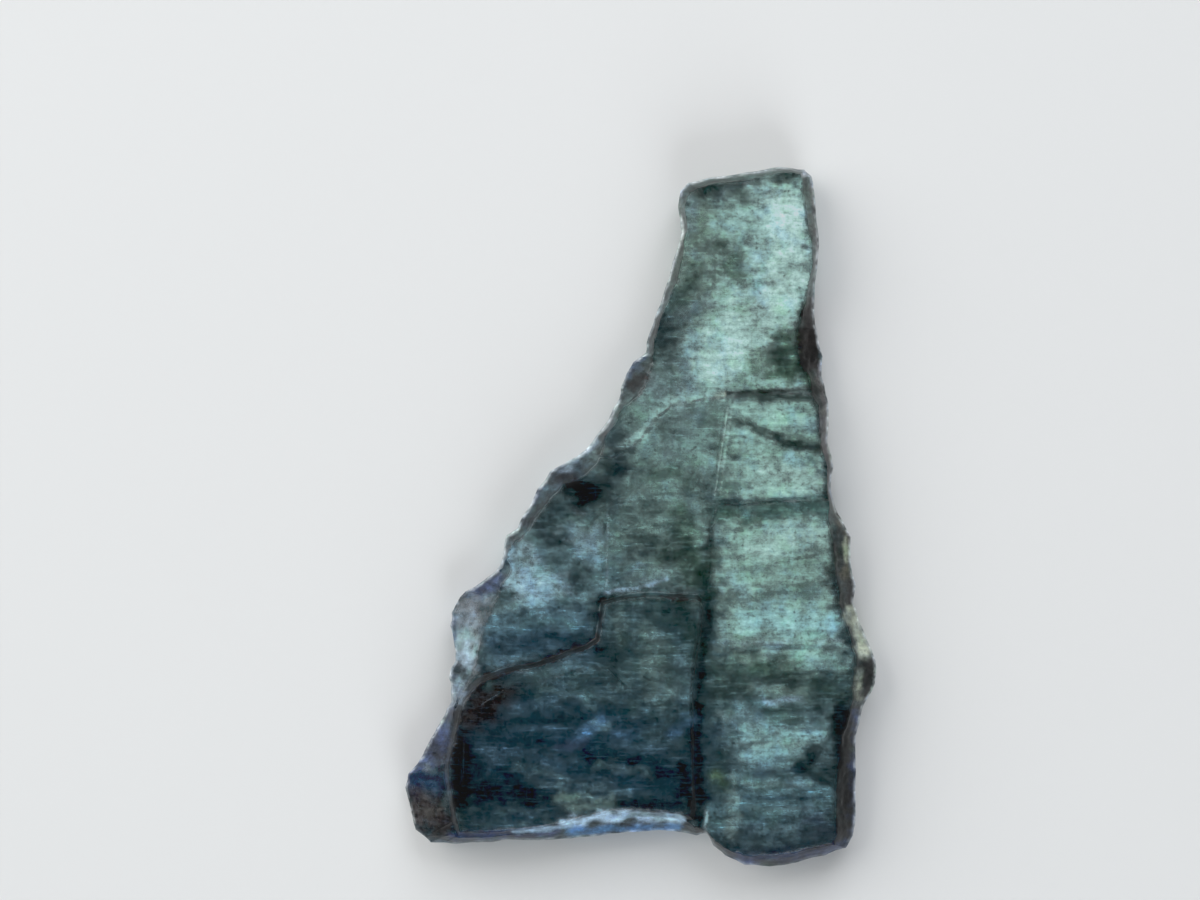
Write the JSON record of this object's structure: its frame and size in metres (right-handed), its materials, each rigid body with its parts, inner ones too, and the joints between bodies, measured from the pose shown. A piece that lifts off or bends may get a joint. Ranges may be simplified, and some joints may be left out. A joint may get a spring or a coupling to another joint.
{
  "type": "vivianite crystal",
  "caption": "Flat tabular vivianite blade with stepped growth terraces, bevelled chipped edges and a narrow crown, lying on its broad back face.",
  "frame": {"origin": "under the middle of the bounding box, on the surface that the crystal lies on", "axes": "+Z out of the broad front face, +Y from the broad foot to the narrow crown, +X to the right of the front face"},
  "size_m": [0.036, 0.0532, 0.0045],
  "materials": {
    "vivianite": "translucent teal to deep blue, pearly on the cleavage face, rougher on the sides"
  },
  "bodies": {
    "root": {"vivianite_crystal": "vivianite"}
  },
  "joints": []
}
